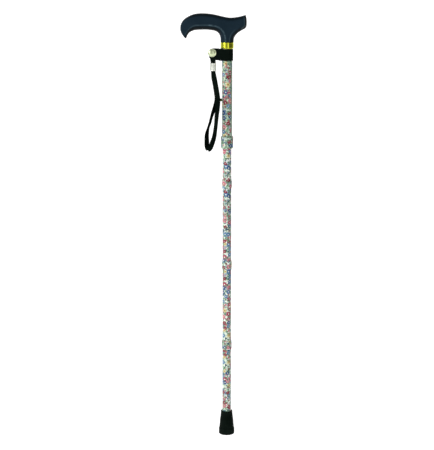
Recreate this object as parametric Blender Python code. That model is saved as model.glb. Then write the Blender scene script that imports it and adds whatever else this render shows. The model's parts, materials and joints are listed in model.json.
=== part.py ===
"""Folding, height-adjustable walking cane with a derby handle, a wrist strap and one rubber tip.

Metres, +Z up. The shaft's axis is Z and the origin is the centre of the rubber tip's ground
face. The handle's beak points to -X, and the side of the cane is seen along +Y.
"""
import math

import bmesh
import bpy
from mathutils import Vector

MM = 0.001
GAP = 0.3 * MM          # clearance between neighbouring pieces
SIDES = 32              # sides of a turned tube or ring
SMALL_SIDES = 20        # sides of a small turned piece
SMOOTH_ANGLE = math.radians(35)

# Shaft
TUBE_R = 9.5 * MM                   # 19 mm folding tubes
UPPER_TUBE_R = 11.1 * MM            # 22.2 mm upper tube
WALL = 1.2 * MM
TUBE_BORE_R = TUBE_R - WALL
UPPER_BORE_R = UPPER_TUBE_R - WALL
JOINT_HEIGHTS = [564.0 * MM, 384.4 * MM, 204.8 * MM]
PARTING_RISE = 2.0 * MM             # where the two tube ends meet, above the sleeve's middle
SLEEVE_HALF = 10.0 * MM
SLEEVE_R = 10.9 * MM
SPIGOT_GRIP = 30.0 * MM             # length fixed in the tube above
SPIGOT_REACH = 38.0 * MM            # length that plugs into the tube below
SPIGOT_BORE_R = 6.0 * MM
HEIGHT_TUBE_TOP = 760.0 * MM

# Rubber tip
TIP_HEIGHT = 53.3 * MM
TIP_FOOT_R = 17.3 * MM
TIP_FOOT_HEIGHT = 14.0 * MM
TIP_FLOOR = 14.0 * MM
WASHER_THICKNESS = 1.5 * MM

# Elastic cord
CORD_R = 2.0 * MM
KNOT_R = 4.2 * MM
CORD_HOLE_R = 2.4 * MM
LOWER_ANCHOR = (28.0 * MM, 38.0 * MM)
UPPER_ANCHOR = (696.0 * MM, 706.0 * MM)

# Height lock
BUTTON_HEIGHT = 744.6 * MM
HOLE_PITCH = 25.4 * MM
HOLE_COUNT = 5
HOLE_R = 3.3 * MM
BUTTON_R = 3.0 * MM
BUTTON_PROUD = 4.1 * MM
CLIP_WIDTH = 8.0 * MM
CLIP_THICKNESS = 0.6 * MM

# Locking collar
COLLAR_BOTTOM = 640.3 * MM
COLLAR_TOP = 667.3 * MM
COLLAR_R = 13.45 * MM
COLLAR_BORE_R = 12.6 * MM
UPPER_TUBE_BOTTOM = 653.0 * MM

# Handle and its fixing
HANDLE_BOTTOM = 866.6 * MM
BRASS_BOTTOM = 853.2 * MM
BRASS_R = 13.9 * MM
STEM_BOTTOM = 820.0 * MM
STEM_TOP = 892.0 * MM
SCREW_R = 3.1 * MM
SCREW_TOP = 905.0 * MM

# Wrist strap
BAND_BOTTOM = 828.0 * MM
BAND_TOP = 852.6 * MM
BAND_THICKNESS = 1.4 * MM
BAND_R = UPPER_TUBE_R + 0.4 * MM + BAND_THICKNESS / 2
FLAP_FRONT_Y = -14.6 * MM
FLAP_BACK_Y = -9.0 * MM
FLAP_ROOT_X = -22.0 * MM
FLAP_END_X = -38.0 * MM
SNAP = Vector((-31.7 * MM, -11.8 * MM, 844.9 * MM))
SNAP_CAP_R = 8.8 * MM
POST_R = 2.0 * MM
TAB_WIDTH = 12.0 * MM
TAB_THICKNESS = 1.6 * MM
CRIMP_TOP = 823.1 * MM
CRIMP_BOTTOM = 806.9 * MM
CRIMP_X = -29.6 * MM
CRIMP_R = 6.7 * MM
STRAP_TUBE_R = 2.5 * MM             # same cross-section area as the 11 x 1.8 mm braid


def remove_everything():
    for old in list(bpy.data.objects):
        bpy.data.objects.remove(old, do_unlink=True)


def finish(name, colour, roughness, metallic=0.0):
    """A plain Principled material."""
    material = bpy.data.materials.new(name)
    material.use_nodes = True
    shader = material.node_tree.nodes["Principled BSDF"]
    shader.inputs["Base Color"].default_value = (*colour, 1.0)
    shader.inputs["Roughness"].default_value = roughness
    shader.inputs["Metallic"].default_value = metallic
    return material


def add_object(name, bm, material, place=(0, 0, 0)):
    """Turn a bmesh into a named, smooth-shaded object with its faces pointing out."""
    bmesh.ops.recalc_face_normals(bm, faces=bm.faces)
    mesh = bpy.data.meshes.new(name)
    bm.to_mesh(mesh)
    bm.free()
    mesh.shade_smooth()
    mesh.set_sharp_from_angle(angle=SMOOTH_ANGLE)
    mesh.materials.append(material)
    obj = bpy.data.objects.new(name, mesh)
    obj.location = place
    bpy.context.scene.collection.objects.link(obj)
    return obj


def pivot(name, place):
    """An empty on a joint's axis."""
    empty = bpy.data.objects.new(name, None)
    empty.location = place
    empty.empty_display_size = 10 * MM
    bpy.context.scene.collection.objects.link(empty)
    return empty


def attach(child, parent):
    """Parent an object to an empty and leave it where it is."""
    child.parent = parent
    child.location = Vector(child.location) - Vector(parent.location)


def skin(bm, rings, closed=False):
    """Join rings of vertices, where a ring of one vertex is a pole."""
    pairs = list(zip(rings, rings[1:]))
    if closed:
        pairs.append((rings[-1], rings[0]))
    for lower, upper in pairs:
        count = max(len(lower), len(upper))
        for i in range(count):
            j = (i + 1) % count
            corners = [lower[i % len(lower)], lower[j % len(lower)],
                       upper[j % len(upper)], upper[i % len(upper)]]
            unique = list(dict.fromkeys(corners))
            if len(unique) > 2:
                bm.faces.new(unique)


def lathe(name, profile, material, place=(0, 0, 0), sides=SIDES):
    """Turn (radius, height) points about Z. A profile that leaves the axis open is closed on itself."""
    bm = bmesh.new()
    rings = []
    for radius, height in profile:
        if radius == 0:
            rings.append([bm.verts.new((0, 0, height))])
            continue
        rings.append([
            bm.verts.new((radius * math.cos(turn), radius * math.sin(turn), height))
            for turn in (2 * math.pi * i / sides for i in range(sides))
        ])
    skin(bm, rings, closed=profile[0][0] > 0)
    return add_object(name, bm, material, place)


def ring_profile(inner, outer, bottom, top, bevel=0.0):
    """The section of a plain ring or tube, with bevelled outer corners."""
    if bevel == 0:
        return [(inner, bottom), (outer, bottom), (outer, top), (inner, top)]
    return [(inner, bottom), (outer - bevel, bottom), (outer, bottom + bevel),
            (outer, top - bevel), (outer - bevel, top), (inner, top)]


def arc(centre_r, centre_z, radius, start, stop, steps):
    """Points on an arc, angles in degrees, as (radius, height) pairs."""
    points = []
    for i in range(steps + 1):
        angle = math.radians(start + (stop - start) * i / steps)
        points.append((centre_r + radius * math.cos(angle), centre_z + radius * math.sin(angle)))
    return points


def smooth_path(points, steps):
    """A Catmull-Rom curve through the given tuples, with the given steps between each pair."""
    padded = [points[0], *points, points[-1]]
    path = []
    for a, b, c, d in zip(padded, padded[1:], padded[2:], padded[3:]):
        for i in range(steps):
            t = i / steps
            path.append(tuple(
                0.5 * (2 * q + (r - p) * t + (2 * p - 5 * q + 4 * r - s) * t * t
                       + (3 * q - p - 3 * r + s) * t ** 3)
                for p, q, r, s in zip(a, b, c, d)
            ))
    path.append(tuple(points[-1]))
    return path


def ribbon(name, path, half_widths, thickness, to_space, material):
    """A strip along a plane path. to_space turns (along, across, width) into a point."""
    bm = bmesh.new()
    rings = []
    for i, (u, v) in enumerate(path):
        before = path[max(i - 1, 0)]
        after = path[min(i + 1, len(path) - 1)]
        run = Vector((after[0] - before[0], after[1] - before[1])).normalized()
        side = Vector((-run.y, run.x)) * thickness / 2
        low, high = half_widths(i)
        rings.append([
            bm.verts.new(to_space(u + side.x * s, v + side.y * s, w))
            for s, w in ((1, low), (1, high), (-1, high), (-1, low))
        ])
    skin(bm, rings)
    bm.faces.new(rings[0])
    bm.faces.new(rings[-1])
    return add_object(name, bm, material)


def loft(name, stations, sides, power, material):
    """A solid through stations of (upper x, upper z, lower x, lower z, half thickness)."""
    bm = bmesh.new()
    rings = []
    for upper_x, upper_z, lower_x, lower_z, half in stations:
        middle = Vector(((upper_x + lower_x) / 2, 0, (upper_z + lower_z) / 2))
        reach = Vector(((upper_x - lower_x) / 2, 0, (upper_z - lower_z) / 2))
        if half == 0:
            rings.append([bm.verts.new(middle)])
            continue
        ring = []
        for i in range(sides):
            turn = 2 * math.pi * i / sides
            along = math.copysign(abs(math.cos(turn)) ** (2 / power), math.cos(turn))
            across = math.copysign(abs(math.sin(turn)) ** (2 / power), math.sin(turn))
            ring.append(bm.verts.new(middle + reach * along + Vector((0, half * across, 0))))
        rings.append(ring)
    skin(bm, rings)
    for end in (rings[0], rings[-1]):
        if len(end) > 1:
            bm.faces.new(end)
    return add_object(name, bm, material)


def cut(obj, cutter, operation="DIFFERENCE"):
    """Cut one object with another, which stays as a hidden guide."""
    cutter.hide_render = True
    cutter.display_type = "WIRE"
    modifier = obj.modifiers.new(cutter.name, "BOOLEAN")
    modifier.operation = operation
    modifier.solver = "EXACT"
    modifier.object = cutter


def cross_pins(name, heights, radius, x_from, x_to, material):
    """Cylinders along X, one for each height, used as a cutter."""
    bm = bmesh.new()
    for height in heights:
        rings = [
            [bm.verts.new((x, radius * math.cos(turn), height + radius * math.sin(turn)))
             for turn in (2 * math.pi * i / SMALL_SIDES for i in range(SMALL_SIDES))]
            for x in (x_from, x_to)
        ]
        skin(bm, rings)
        bm.faces.new(rings[0])
        bm.faces.new(rings[1])
    return add_object(name, bm, material)


def block(name, low, high, material):
    """A plain box between two corners, used as a cutter."""
    bm = bmesh.new()
    bmesh.ops.create_cube(bm, size=1)
    low, high = Vector(low), Vector(high)
    for vert in bm.verts:
        vert.co = Vector(a + (b - a) * (c + 0.5) for a, b, c in zip(low, high, vert.co))
    return add_object(name, bm, material)


remove_everything()

print_finish = finish("floral_print", (0.62, 0.70, 0.62), 0.25)
bare_metal = finish("bare_aluminium", (0.75, 0.76, 0.78), 0.3, 1.0)
charcoal = finish("charcoal_moulding", (0.012, 0.023, 0.036), 0.38)
brass = finish("polished_brass", (0.72, 0.62, 0.12), 0.15, 1.0)
pale_brass = finish("pale_brass", (0.55, 0.60, 0.32), 0.3, 1.0)
dark_brass = finish("dark_brass", (0.16, 0.17, 0.07), 0.35, 1.0)
chrome = finish("chrome", (0.80, 0.80, 0.76), 0.12, 1.0)
steel = finish("spring_steel", (0.50, 0.51, 0.53), 0.3, 1.0)
rubber = finish("black_rubber", (0.018, 0.022, 0.019), 0.62)
nylon = finish("black_nylon", (0.03, 0.03, 0.032), 0.45)
webbing = finish("black_webbing", (0.008, 0.012, 0.009), 0.85)
elastic = finish("white_elastic", (0.75, 0.74, 0.70), 0.8)


# Pivots on the joints' axes
height_pivot = pivot("height_slide_axis", (0, 0, BUTTON_HEIGHT))
button_pivot = pivot("button_press_axis", (0, 0, BUTTON_HEIGHT))
collar_pivot = pivot("collar_turn_axis", (0, 0, COLLAR_BOTTOM))
section_pivots = [pivot(f"section_{i + 1}_axis", (0, 0, z)) for i, z in enumerate(JOINT_HEIGHTS)]
band_pivot = pivot("band_turn_axis", (0, 0, SNAP.z))
strap_pivot = pivot("strap_swing_axis", SNAP)


def make_handle():
    """Derby handle: a body from the blunt end to the beak, and a neck that flares up into it."""
    body = [
        (41.4, 908.0, 41.4, 908.0, 0),
        (41.0, 915.4, 40.6, 899.4, 8.5),
        (38.4, 922.8, 37.0, 894.6, 12.3),
        (33.5, 922.2, 30.0, 891.0, 13.4),
        (20.2, 919.0, 17.0, 888.6, 14.0),
        (5.0, 918.0, 3.0, 888.2, 14.2),
        (-13.8, 921.4, -14.0, 888.8, 14.6),
        (-30.9, 925.2, -29.0, 891.0, 15.4),
        (-46.8, 926.9, -45.0, 892.8, 16.0),
        (-60.0, 926.9, -58.0, 892.6, 15.8),
        (-74.0, 923.9, -67.5, 891.8, 14.9),
        (-85.5, 918.4, -74.5, 889.8, 13.7),
        (-93.7, 911.6, -79.0, 887.2, 12.3),
        (-98.2, 903.0, -81.8, 884.4, 10.8),
        (-99.1, 894.0, -83.6, 881.6, 9.0),
        (-97.3, 886.7, -84.8, 878.8, 7.0),
        (-93.5, 880.3, -86.0, 876.2, 4.4),
        (-88.6, 874.7, -88.6, 874.7, 0),
    ]
    neck = [
        (13.75, 866.6, -13.75, 866.6, 13.75),
        (14.4, 874.0, -14.0, 874.0, 13.6),
        (17.3, 880.0, -15.3, 880.0, 13.4),
        (20.6, 884.2, -17.4, 884.2, 13.2),
        (26.2, 888.4, -22.1, 888.4, 13.0),
        (32.0, 891.9, -29.0, 891.2, 12.4),
        (32.5, 897.5, -31.0, 897.5, 10.5),
    ]
    to_metres = lambda stations: [tuple(value * MM for value in row) for row in stations]
    smooth_body = smooth_path(to_metres(body), 2)
    handle = loft("handle", smooth_body, 24, 2.45, charcoal)
    stem = loft("neck_union", smooth_path(to_metres(neck), 2), 24, 2.1, charcoal)
    cut(handle, stem, "UNION")
    bore = lathe("stem_bore_cutter", [
        (0, HANDLE_BOTTOM - 8 * MM), (9.3 * MM, HANDLE_BOTTOM - 8 * MM),
        (9.3 * MM, STEM_TOP + GAP), (SCREW_R + GAP, STEM_TOP + GAP),
        (SCREW_R + GAP, SCREW_TOP + 1.5 * MM), (0, SCREW_TOP + 1.5 * MM),
    ], charcoal, sides=SMALL_SIDES)
    cut(handle, bore)


def make_handle_fixing():
    """A stem plugs the tube into the handle, and a long screw holds it from below."""
    screw_hole_r = SCREW_R + GAP
    tube_top = HANDLE_BOTTOM - 0.4 * MM
    lathe("handle_stem", [
        (screw_hole_r, STEM_BOTTOM), (UPPER_BORE_R - GAP - 1 * MM, STEM_BOTTOM),
        (UPPER_BORE_R - GAP, STEM_BOTTOM + 1 * MM), (UPPER_BORE_R - GAP, tube_top - 1.5 * MM),
        (9.0 * MM, tube_top), (9.0 * MM, STEM_TOP), (screw_hole_r, STEM_TOP),
    ], nylon, sides=SMALL_SIDES)
    head = STEM_BOTTOM - GAP
    lathe("handle_screw", [
        (0, head - 4.2 * MM), (2.2 * MM, head - 5.0 * MM), (5.0 * MM, head - 4.0 * MM),
        (5.6 * MM, head), (SCREW_R, head), (SCREW_R, SCREW_TOP - 4 * MM), (0, SCREW_TOP),
    ], steel, sides=SMALL_SIDES)
    lathe("brass_collar", [
        (UPPER_TUBE_R + GAP, BRASS_BOTTOM),
        *arc(BRASS_R - 1 * MM, BRASS_BOTTOM + 1 * MM, 1 * MM, -90, 0, 2),
        *arc(BRASS_R - 1 * MM, HANDLE_BOTTOM - 1.3 * MM, 1 * MM, 0, 90, 2),
        (UPPER_TUBE_R + GAP, HANDLE_BOTTOM - GAP),
    ], brass)


def make_upper_tube():
    """The upper tube with its row of adjustment holes on the beak's side."""
    tube_top = HANDLE_BOTTOM - 0.4 * MM
    tube = lathe("upper_tube", ring_profile(UPPER_BORE_R, UPPER_TUBE_R, UPPER_TUBE_BOTTOM, tube_top),
                 print_finish)
    middle = (HOLE_COUNT - 1) / 2
    heights = [BUTTON_HEIGHT + (i - middle) * HOLE_PITCH for i in range(HOLE_COUNT)]
    cut(tube, cross_pins("adjustment_holes_cutter", heights, HOLE_R,
                         -UPPER_TUBE_R - 2 * MM, -TUBE_R + 2 * MM, print_finish))


def make_locking_collar():
    """A threaded bush on the upper tube, a split ring under it, and the collar over both."""
    bush_r = COLLAR_BORE_R - GAP
    lathe("threaded_bush", ring_profile(UPPER_TUBE_R + GAP, bush_r, UPPER_TUBE_BOTTOM + 1 * MM,
                                        COLLAR_TOP - 2.5 * MM, 0.3 * MM), nylon)
    ring_bottom = COLLAR_BOTTOM + 4.0 * MM
    ring_top = UPPER_TUBE_BOTTOM - GAP
    ring = lathe("compression_ring", [
        (TUBE_R + GAP, ring_bottom), (11.0 * MM, ring_bottom), (12.2 * MM, ring_bottom + 2 * MM),
        (12.2 * MM, ring_top), (TUBE_R + GAP, ring_top),
    ], nylon)
    cut(ring, block("ring_slot_cutter", (TUBE_R - 1 * MM, -1.1 * MM, ring_bottom - 1 * MM),
                    (14 * MM, 1.3 * MM, ring_top + 1 * MM), nylon))
    waist = (COLLAR_BOTTOM + COLLAR_TOP) / 2
    collar = lathe("locking_collar", [
        (TUBE_R + 0.6 * MM, COLLAR_BOTTOM), (11.4 * MM, COLLAR_BOTTOM),
        (12.9 * MM, COLLAR_BOTTOM + 1.2 * MM), (COLLAR_R, COLLAR_BOTTOM + 3.4 * MM),
        (COLLAR_R, COLLAR_BOTTOM + 6.5 * MM), (COLLAR_R - 0.3 * MM, waist),
        (COLLAR_R, COLLAR_TOP - 6.5 * MM), (COLLAR_R, COLLAR_TOP - 3.4 * MM),
        (12.9 * MM, COLLAR_TOP - 1.2 * MM), (11.9 * MM, COLLAR_TOP),
        (UPPER_TUBE_R + GAP, COLLAR_TOP), (UPPER_TUBE_R + GAP, COLLAR_TOP - 1.8 * MM),
        (COLLAR_BORE_R, COLLAR_TOP - 1.8 * MM), (COLLAR_BORE_R, COLLAR_BOTTOM + 2.6 * MM),
        (TUBE_R + 0.6 * MM, COLLAR_BOTTOM + 2.6 * MM),
    ], print_finish)
    attach(collar, collar_pivot)


def make_height_tube():
    """The inner tube that slides in the upper tube, with its guide, button and spring clip."""
    bottom = JOINT_HEIGHTS[0] + PARTING_RISE + GAP
    tube = lathe("height_tube", ring_profile(TUBE_BORE_R, TUBE_R, bottom, HEIGHT_TUBE_TOP), print_finish)
    cut(tube, cross_pins("button_hole_cutter", [BUTTON_HEIGHT], HOLE_R,
                         -TUBE_R - 2 * MM, -TUBE_BORE_R + 4 * MM, print_finish))
    guide_top = HEIGHT_TUBE_TOP + 4 * MM
    guide = lathe("guide_bush", [
        (4 * MM, HEIGHT_TUBE_TOP - 5.5 * MM), (TUBE_BORE_R - GAP, HEIGHT_TUBE_TOP - 5.5 * MM),
        (TUBE_BORE_R - GAP, HEIGHT_TUBE_TOP + GAP), (UPPER_BORE_R - 0.2 * MM, HEIGHT_TUBE_TOP + GAP),
        (UPPER_BORE_R - 0.2 * MM, guide_top - 0.6 * MM), (UPPER_BORE_R - 0.8 * MM, guide_top),
        (4 * MM, guide_top),
    ], nylon)
    button = lathe("snap_button", [
        (0, 6.1 * MM), (3.9 * MM, 6.1 * MM), (3.9 * MM, 6.9 * MM), (BUTTON_R, 6.9 * MM),
        (BUTTON_R, UPPER_TUBE_R + BUTTON_PROUD - 1.8 * MM),
        *arc(BUTTON_R - 1.8 * MM, UPPER_TUBE_R + BUTTON_PROUD - 1.8 * MM, 1.8 * MM, 30, 90, 2),
        (0, UPPER_TUBE_R + BUTTON_PROUD),
    ], dark_brass, place=(0, 0, BUTTON_HEIGHT), sides=SMALL_SIDES)
    button.rotation_euler = (0, -math.pi / 2, 0)
    button_leg_x, back_leg_x = -5.5 * MM, 6.6 * MM
    bend_r = (back_leg_x - button_leg_x) / 2
    bend_z = BUTTON_HEIGHT - 20 * MM
    bend = arc((button_leg_x + back_leg_x) / 2, bend_z, bend_r, 180, 360, 10)
    leg_top = BUTTON_HEIGHT + 7 * MM
    path = [(button_leg_x, leg_top), *bend, (back_leg_x, leg_top)]
    clip = ribbon("button_clip", path, lambda i: (-CLIP_WIDTH / 2, CLIP_WIDTH / 2), CLIP_THICKNESS,
                  lambda x, z, y: (x, y, z), steel)
    attach(button, button_pivot)
    for piece in (tube, guide, clip):
        attach(piece, height_pivot)


def make_fold_joint(number, middle):
    """One joint: a belled sleeve on the lower tube's mouth and a spigot in the upper tube's end."""
    parting = middle + PARTING_RISE
    low, high = middle - SLEEVE_HALF, middle + SLEEVE_HALF
    inner = TUBE_R + GAP
    rim = inner + 0.35 * MM
    sleeve = lathe(f"joint_sleeve_{number}", [
        (inner, low), (rim, low), (SLEEVE_R - 0.35 * MM, low + 3.0 * MM), (SLEEVE_R, low + 6.5 * MM),
        (SLEEVE_R, high - 5.0 * MM), (SLEEVE_R - 0.35 * MM, high - 2.0 * MM), (rim, high), (inner, high),
    ], print_finish)
    spigot_r = TUBE_BORE_R - GAP
    spigot_end = parting - SPIGOT_REACH
    spigot_top = parting + SPIGOT_GRIP
    spigot = lathe(f"spigot_{number}", [
        (SPIGOT_BORE_R, spigot_end), (spigot_r - 1 * MM, spigot_end), (spigot_r, spigot_end + 3 * MM),
        (spigot_r, spigot_top), (SPIGOT_BORE_R, spigot_top),
    ], bare_metal)
    attach(sleeve, section_pivots[number - 1])
    attach(spigot, height_pivot if number == 1 else section_pivots[number - 2])


def make_sections():
    """Three folding tubes. The lowest one ends in the rubber tip."""
    floor = TIP_FLOOR + WASHER_THICKNESS + 2 * GAP
    bottoms = [z + PARTING_RISE + GAP for z in JOINT_HEIGHTS[1:]] + [floor]
    for number, (middle, bottom) in enumerate(zip(JOINT_HEIGHTS, bottoms), start=1):
        tube = lathe(f"section_tube_{number}",
                     ring_profile(TUBE_BORE_R, TUBE_R, bottom, middle + PARTING_RISE), print_finish)
        attach(tube, section_pivots[number - 1])
        make_fold_joint(number, middle)


def make_elastic_cord():
    """A stretched cord through the folding tubes, knotted behind a plug at each end."""
    lower = lathe("cord_anchor_bottom", ring_profile(CORD_HOLE_R, TUBE_BORE_R - GAP, *LOWER_ANCHOR),
                  nylon)
    upper = lathe("cord_anchor_top", ring_profile(CORD_HOLE_R, TUBE_BORE_R - GAP, *UPPER_ANCHOR),
                  nylon)
    low_knot = LOWER_ANCHOR[0] - GAP - KNOT_R
    high_knot = UPPER_ANCHOR[1] + GAP + KNOT_R
    cord = lathe("elastic_cord", [
        (0, low_knot - KNOT_R), *arc(0, low_knot, KNOT_R, -45, 45, 4), (CORD_R, low_knot + KNOT_R),
        (CORD_R, high_knot - KNOT_R), *arc(0, high_knot, KNOT_R, -45, 45, 4), (0, high_knot + KNOT_R),
    ], elastic, sides=12)
    attach(lower, section_pivots[-1])
    attach(upper, height_pivot)
    attach(cord, section_pivots[-1])


def make_tip():
    """Rubber tip: a grooved foot, a tapered sleeve, and a steel washer under the tube."""
    groove = 1.5 * MM
    bore_r = TUBE_R + GAP
    sole = [(0, 0), (5.5 * MM, 0), (6.2 * MM, groove), (7.6 * MM, groove), (8.3 * MM, 0),
            (10.6 * MM, 0), (11.3 * MM, groove), (12.7 * MM, groove), (13.4 * MM, 0)]
    foot = [*arc(TIP_FOOT_R - 2.6 * MM, 2.6 * MM, 2.6 * MM, -90, 0, 3),
            *arc(TIP_FOOT_R - 1 * MM, TIP_FOOT_HEIGHT - 1 * MM, 1 * MM, 0, 90, 2)]
    sleeve = [(15.9 * MM, 14.6 * MM), (15.8 * MM, 19.0 * MM), (15.3 * MM, 24.0 * MM),
              (14.65 * MM, 33.0 * MM), (13.4 * MM, 42.8 * MM), (12.8 * MM, 49.0 * MM),
              *arc(11.8 * MM, TIP_HEIGHT - 1 * MM, 1 * MM, 0, 90, 2)]
    bore = [(bore_r + 0.5 * MM, TIP_HEIGHT), (bore_r, TIP_HEIGHT - 0.6 * MM), (bore_r, TIP_FLOOR),
            (0, TIP_FLOOR)]
    tip = lathe("ferrule", sole + foot + sleeve + bore, rubber)
    washer_bottom = TIP_FLOOR + GAP
    washer = lathe("ferrule_washer", ring_profile(3 * MM, TUBE_R, washer_bottom,
                                                  washer_bottom + WASHER_THICKNESS), steel)
    for piece in (tip, washer):
        attach(piece, section_pivots[-1])


def tangent_angle(point, side):
    """Where a line from a point touches the band's circle, as an angle about the shaft."""
    reach = math.hypot(*point)
    return math.atan2(point[1], point[0]) + side * math.acos(BAND_R / reach)


def make_keeper_band():
    """An elastic strip that wraps the tube, with both ends pressed together at the snap."""
    front_root, back_root = (FLAP_ROOT_X, FLAP_FRONT_Y), (FLAP_ROOT_X, FLAP_BACK_Y)
    start = tangent_angle(front_root, 1)
    stop = tangent_angle(back_root, -1)
    while stop < start:
        stop += 2 * math.pi
    steps = 24
    wrap = [(BAND_R * math.cos(a), BAND_R * math.sin(a))
            for a in (start + (stop - start) * i / steps for i in range(steps + 1))]
    flap_steps = 8
    flap_x = [FLAP_END_X + (FLAP_ROOT_X - FLAP_END_X) * i / flap_steps for i in range(flap_steps + 1)]
    front = [(x, FLAP_FRONT_Y) for x in flap_x]
    back = [(x, FLAP_BACK_Y) for x in reversed(flap_x)]
    path = front + wrap + back
    half = (BAND_TOP - BAND_BOTTOM) / 2
    middle = (BAND_TOP + BAND_BOTTOM) / 2

    def heights(i):
        """Full height on the tube, rounded off around the snap at the flap's end."""
        beyond = max(0.0, SNAP.x + 4 * MM - path[i][0])
        share = min(beyond / (SNAP.x + 4 * MM - FLAP_END_X), 1.0)
        drop = 1 - math.sqrt(1 - (0.93 * share) ** 2)
        return (middle - half + drop * (half - 4 * MM), middle + half - drop * (half - 4 * MM))

    band = ribbon("keeper_band", path, heights, BAND_THICKNESS, lambda x, y, z: (x, y, z), webbing)
    hole = lathe("snap_hole_cutter", [(0, -6 * MM), (POST_R + GAP, -6 * MM), (POST_R + GAP, 6 * MM),
                                      (0, 6 * MM)], webbing, place=SNAP, sides=SMALL_SIDES)
    hole.rotation_euler = (math.pi / 2, 0, 0)
    cut(band, hole)
    attach(band, band_pivot)


def make_snap():
    """A press stud: a domed cap with its post, a socket ring inside and a stud ring behind."""
    front_face = SNAP.y - FLAP_FRONT_Y + BAND_THICKNESS / 2 + GAP
    back_face = SNAP.y - FLAP_BACK_Y - BAND_THICKNESS / 2 - GAP
    cap = lathe("snap_cap", [
        (0, back_face - 1.4 * MM), (POST_R, back_face - 1.4 * MM), (POST_R, front_face),
        (SNAP_CAP_R - 0.6 * MM, front_face), (SNAP_CAP_R, front_face + 0.8 * MM),
        (SNAP_CAP_R - 0.5 * MM, front_face + 1.5 * MM), (SNAP_CAP_R - 2.2 * MM, front_face + 2.2 * MM),
        (SNAP_CAP_R - 5.0 * MM, front_face + 2.8 * MM), (0, front_face + 3.0 * MM),
    ], pale_brass, place=SNAP, sides=28)
    socket = lathe("snap_socket", ring_profile(POST_R + GAP, 4.5 * MM, 1.2 * MM, 1.8 * MM),
                   chrome, place=SNAP, sides=SMALL_SIDES)
    stud = lathe("snap_stud", ring_profile(POST_R + GAP, 6.0 * MM, back_face - 1.8 * MM, back_face,
                                           0.5 * MM), pale_brass, place=SNAP, sides=SMALL_SIDES)
    for piece in (cap, socket, stud):
        piece.rotation_euler = (math.pi / 2, 0, 0)
        attach(piece, band_pivot)


def make_strap_tab():
    """A webbing tab with a round eye on the snap's post."""
    half = TAB_WIDTH / 2
    drop = SNAP.z - CRIMP_TOP - GAP
    lean = CRIMP_X - SNAP.x
    eye = [(half * math.cos(a), half * math.sin(a)) for a in (math.pi * i / 12 for i in range(13))]
    outline = eye + [(lean - half, -drop), (lean + half, -drop)]
    bm = bmesh.new()
    rings = [[bm.verts.new((x, y, z)) for x, z in outline] for y in (-TAB_THICKNESS / 2, TAB_THICKNESS / 2)]
    skin(bm, rings)
    bm.faces.new(rings[0])
    bm.faces.new(rings[1])
    tab = add_object("strap_tab", bm, webbing, SNAP)
    eye_hole = lathe("tab_eye_cutter", [(0, -3 * MM), (POST_R + 0.4 * MM, -3 * MM),
                                        (POST_R + 0.4 * MM, 3 * MM), (0, 3 * MM)],
                     webbing, place=SNAP, sides=SMALL_SIDES)
    eye_hole.rotation_euler = (math.pi / 2, 0, 0)
    cut(tab, eye_hole)
    attach(tab, strap_pivot)


def make_crimp():
    """A round metal sleeve that holds the loop's two ends."""
    crimp = lathe("crimp_sleeve", [
        (CRIMP_R - 0.9 * MM, CRIMP_BOTTOM), (CRIMP_R - 0.3 * MM, CRIMP_BOTTOM),
        (CRIMP_R, CRIMP_BOTTOM + 0.8 * MM), (CRIMP_R, CRIMP_TOP - 0.8 * MM),
        (CRIMP_R - 0.3 * MM, CRIMP_TOP), (CRIMP_R - 0.9 * MM, CRIMP_TOP),
    ], chrome, place=(CRIMP_X, SNAP.y, 0), sides=28)
    attach(crimp, strap_pivot)


def make_wrist_strap():
    """The wrist loop, as a plain tube along the braid's route: down one ply and up the other."""
    route = [
        (-29.2, -2.7, 806.5), (-27.2, -2.7, 792.0), (-23.8, -2.7, 774.0),
        (-20.0, -2.7, 750.0), (-19.9, -2.8, 736.0), (-21.0, -3.0, 723.0), (-22.4, -3.2, 710.0),
        (-23.6, -3.3, 695.0), (-25.4, -3.2, 680.0), (-27.5, -2.8, 667.0), (-31.4, -2.0, 654.5),
        (-35.6, -0.8, 643.6), (-40.0, 0.4, 640.0), (-42.8, 1.4, 646.5), (-43.3, 2.2, 658.0),
        (-43.2, 2.8, 671.0), (-40.4, 3.2, 684.5), (-36.6, 3.2, 696.0), (-33.2, 3.0, 709.0),
        (-29.0, 2.8, 722.0), (-24.0, 2.7, 736.0), (-21.6, 2.7, 750.0), (-24.8, 2.7, 774.0),
        (-28.2, 2.7, 792.0), (-29.8, 2.7, 806.5),
    ]
    points = smooth_path([(x * MM, y * MM, z * MM) for x, y, z in route], 3)
    curve = bpy.data.curves.new("wrist_strap", "CURVE")
    curve.dimensions = "3D"
    curve.bevel_depth = STRAP_TUBE_R
    curve.bevel_resolution = 2
    curve.use_fill_caps = True
    spline = curve.splines.new("POLY")
    spline.points.add(len(points) - 1)
    for point, (x, y, z) in zip(spline.points, points):
        point.co = (x - SNAP.x, y, z - SNAP.z, 1)
    curve.materials.append(webbing)
    strap = bpy.data.objects.new("wrist_strap", curve)
    strap.location = SNAP
    bpy.context.scene.collection.objects.link(strap)
    attach(strap, strap_pivot)


make_handle()
make_handle_fixing()
make_upper_tube()
make_locking_collar()
make_height_tube()
make_sections()
make_elastic_cord()
make_tip()
make_keeper_band()
make_snap()
make_strap_tab()
make_crimp()
make_wrist_strap()
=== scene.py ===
"""Looks of the folding walking cane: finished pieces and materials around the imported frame."""
import json
import math

import bmesh
import bpy
import numpy as np
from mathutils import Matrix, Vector
from mathutils.geometry import delaunay_2d_cdt


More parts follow.
